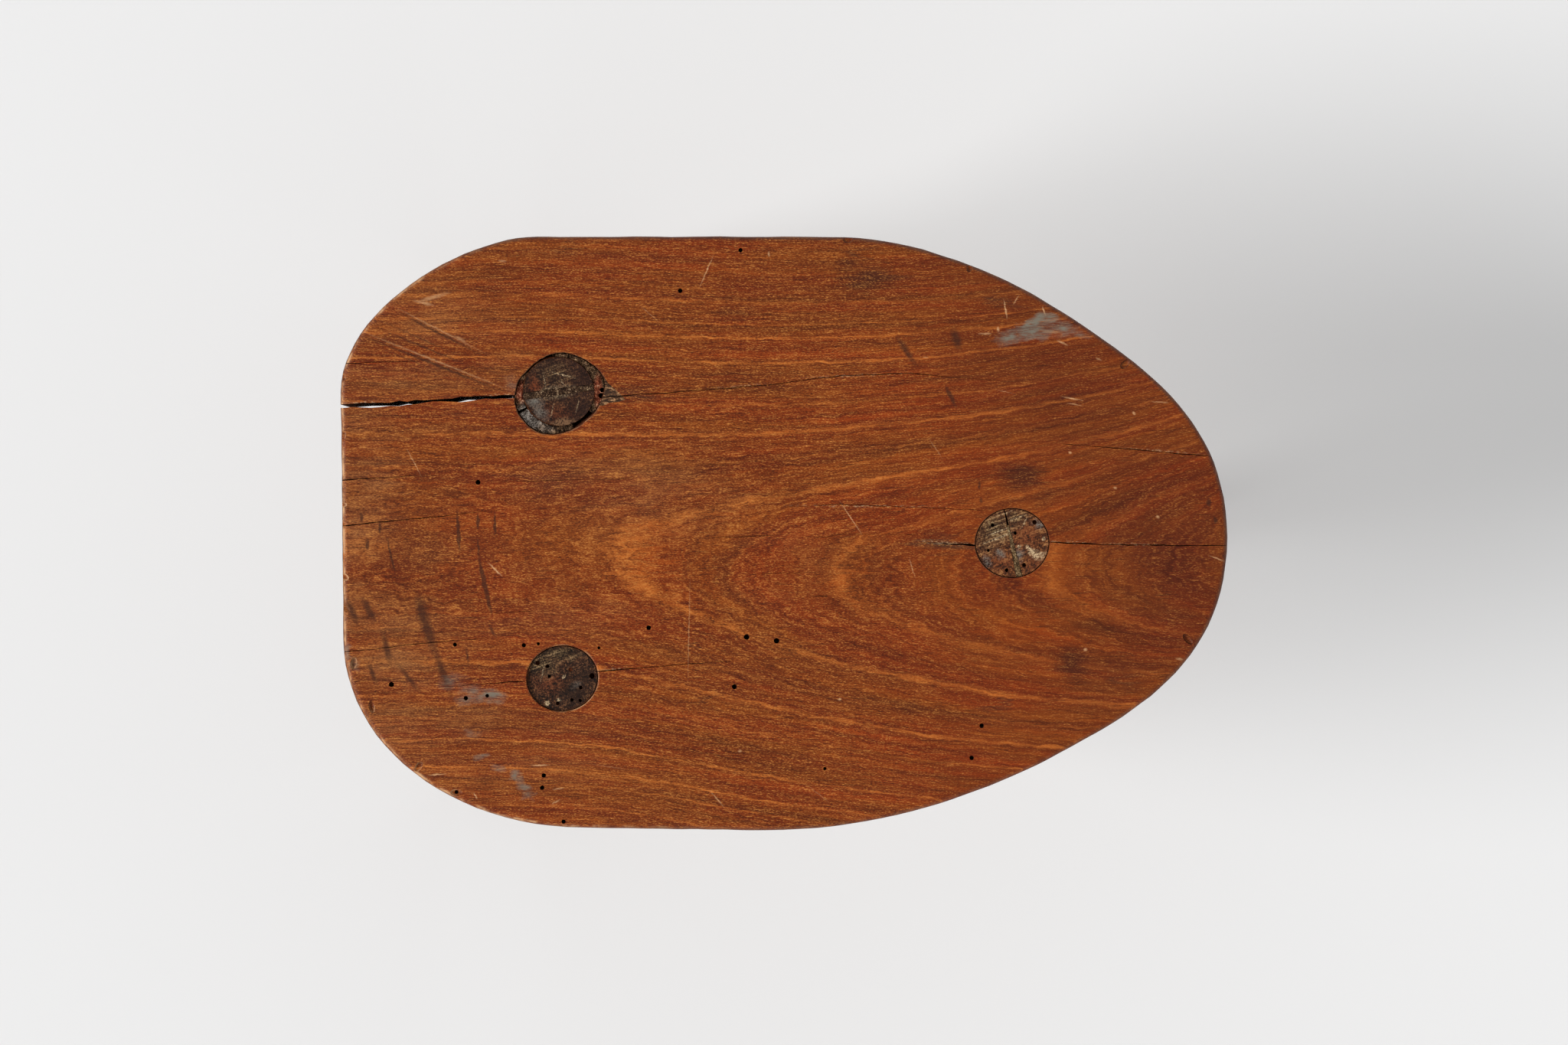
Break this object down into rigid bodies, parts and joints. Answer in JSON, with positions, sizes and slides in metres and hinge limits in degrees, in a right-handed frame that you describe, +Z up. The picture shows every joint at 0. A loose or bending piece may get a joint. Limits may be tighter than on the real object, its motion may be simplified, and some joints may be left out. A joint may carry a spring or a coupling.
{
  "type": "tripod stool",
  "caption": "Low farmhouse milking stool: a plank seat drawn in to a round nose, on splayed shaved legs with wedged through-tenons.",
  "frame": {"origin": "on the floor, under the middle of the seat's length and width", "axes": "+X towards the round nose of the seat, +Y towards its left side as seen by someone facing the nose, +Z up"},
  "size_m": [0.37, 0.248, 0.3],
  "materials": {
    "seat": "old beech, stained red-brown and worn to a low sheen",
    "leg": "shaved hardwood, darkened by handling, end grain nearly black-brown",
    "wedge": "dry, crumbling split wood",
    "slip": "rough split slips, dry and fibrous"
  },
  "bodies": {
    "root": {"seat_board": "seat", "nose_leg": "leg", "rear_left_leg": "leg", "rear_right_leg": "leg", "nose_wedge": "wedge", "rear_left_wedge": "wedge", "front_packing_slip": "slip", "back_packing_slip": "slip", "inner_packing_slip": "slip"}
  },
  "joints": []
}
